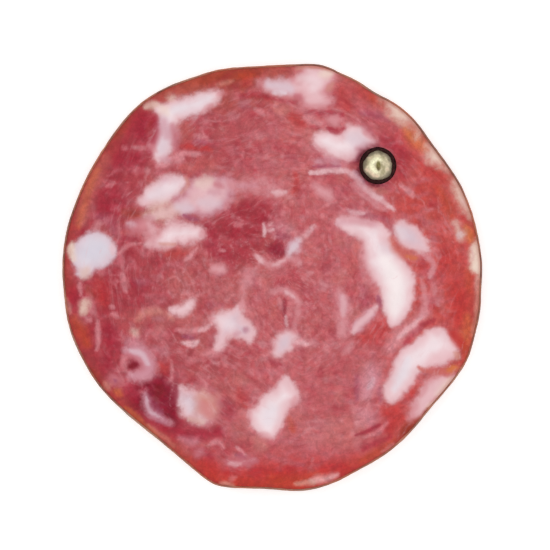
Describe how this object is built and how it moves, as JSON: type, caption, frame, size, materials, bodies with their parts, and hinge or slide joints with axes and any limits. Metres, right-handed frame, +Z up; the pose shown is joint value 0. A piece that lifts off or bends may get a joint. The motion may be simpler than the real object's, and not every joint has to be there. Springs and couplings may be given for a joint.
{
  "type": "cured sausage slice",
  "caption": "Thin round slice of coarse-ground salami lying flat: a gut casing round lean red meat, white pieces of fat and a cut black peppercorn.",
  "frame": {"origin": "under the middle of the slice, on the surface that it lies on", "axes": "+Z up through the slice's thickness, +Y away across its longer diameter, +X right"},
  "size_m": [0.0568, 0.0578, 0.0025],
  "materials": {
    "lean": "moist cut cured meat, dusty rose to crimson, finely marbled",
    "fat": "satin cured back fat, white to pale pink, slightly waxy",
    "casing": "dry wrinkled brown gut skin",
    "peppercorn": "dry dark wrinkled skin round a cream kernel"
  },
  "bodies": {
    "root": {"casing": "casing", "fat_beside_peppercorn": "fat", "fat_boomerang": "fat", "fat_bottom_bead": "fat", "fat_bottom_streak": "fat", "fat_centre_bead": "fat", "fat_centre_fork": "fat", "fat_far_right_strip": "fat", "fat_left_edge_nub": "fat", "fat_left_egg": "fat", "fat_left_lens": "fat", "fat_left_lump": "fat", "fat_left_middle": "fat", "fat_left_slab": "fat", "fat_low_centre": "fat", "fat_lower_diagonal": "fat", "fat_lower_left_bead": "fat", "fat_lower_left_block": "fat", "fat_lower_left_hook": "fat", "fat_lower_left_sliver": "fat", "fat_lower_right_edge": "fat", "fat_right_crescent": "fat", "fat_right_edge_bead": "fat", "fat_right_edge_strip": "fat", "fat_right_edge_wedge": "fat", "fat_right_lobe": "fat", "fat_small_crescent": "fat", "fat_small_oval": "fat", "fat_thin_wedge": "fat", "fat_tiny_oval": "fat", "fat_top_edge": "fat", "fat_upper_bead": "fat", "fat_upper_left_fork": "fat", "fat_upper_right_edge": "fat", "lean_meat": "lean", "peppercorn": "peppercorn"}
  },
  "joints": []
}
